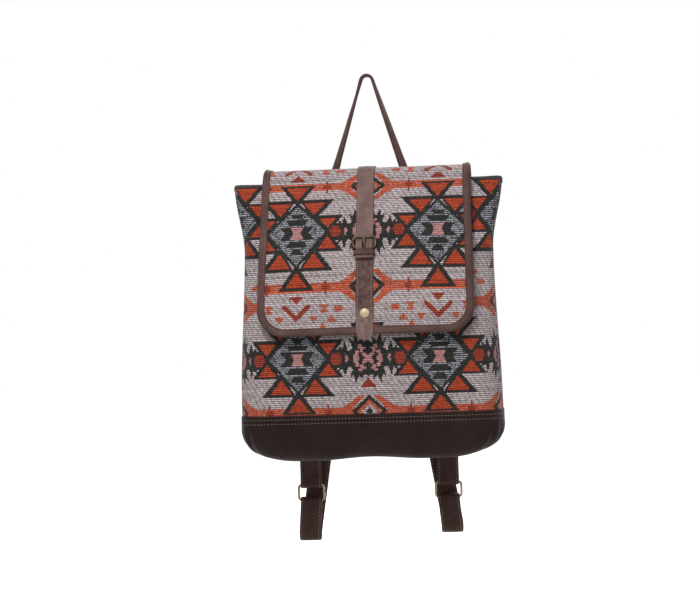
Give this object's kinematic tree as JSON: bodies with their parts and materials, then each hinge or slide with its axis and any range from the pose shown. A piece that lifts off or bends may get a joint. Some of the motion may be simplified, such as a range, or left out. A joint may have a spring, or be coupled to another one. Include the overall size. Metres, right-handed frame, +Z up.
{
  "type": "backpack",
  "caption": "Flap backpack of patterned woven cloth with a leather base, leather-bound flap, buckled closing strap, top handle and ringed shoulder straps, hanging by its handle.",
  "frame": {"origin": "inside top of the handle's loop, where a hook carries the bag", "axes": "+Z up, -Y out of the flap's front, +X to the right of a viewer who faces the flap"},
  "size_m": [0.312, 0.1288, 0.5474],
  "materials": {
    "woven_cloth": "heavy woven cotton with stepped diamonds and bands in cream, orange, black and pink",
    "lining_cloth": "plain dark cotton",
    "brown_leather": "worn matt brown leather with stitched edges",
    "dark_leather": "matt dark brown leather with stitched edges",
    "antique_brass": "darkened antique brass, brighter on its edges",
    "bright_brass": "brushed brass"
  },
  "bodies": {
    "bag": {"front_panel": "woven_cloth", "back_panel": "woven_cloth", "left_gusset": "woven_cloth", "right_gusset": "woven_cloth", "leather_base": "dark_leather", "lining": "lining_cloth", "flap": "woven_cloth", "flap_lining": "lining_cloth", "flap_binding": "brown_leather", "closing_strap_upper": "brown_leather", "closing_strap_lower": "brown_leather", "strap_keeper": "brown_leather", "buckle_frame": "antique_brass", "snap_cap": "bright_brass", "snap_socket": "antique_brass", "snap_stud": "antique_brass", "handle": "brown_leather", "strap_yoke": "dark_leather", "shoulder_strap_left": "dark_leather", "shoulder_strap_right": "dark_leather", "strap_tab_left": "dark_leather", "strap_tab_right": "dark_leather"},
    "prong": {"buckle_prong": "antique_brass"},
    "left_ring": {"strap_ring_left": "antique_brass"},
    "right_ring": {"strap_ring_right": "antique_brass"}
  },
  "joints": [
    {"name": "prong_swing", "type": "hinge", "parent": "bag", "child": "prong", "pos_m": [0, -0.08819, -0.20215], "axis": [1, 0, 0], "range_deg": [0, 90]},
    {"name": "left_ring_swing", "type": "hinge", "parent": "bag", "child": "left_ring", "pos_m": [-0.081, 0.00011, -0.478], "axis": [1, 0, 0], "range_deg": [-40, 40], "deforming": ["shoulder_strap_left"]},
    {"name": "right_ring_swing", "type": "hinge", "parent": "bag", "child": "right_ring", "pos_m": [0.081, 0.00011, -0.478], "axis": [1, 0, 0], "range_deg": [-40, 40], "deforming": ["shoulder_strap_right"]}
  ]
}
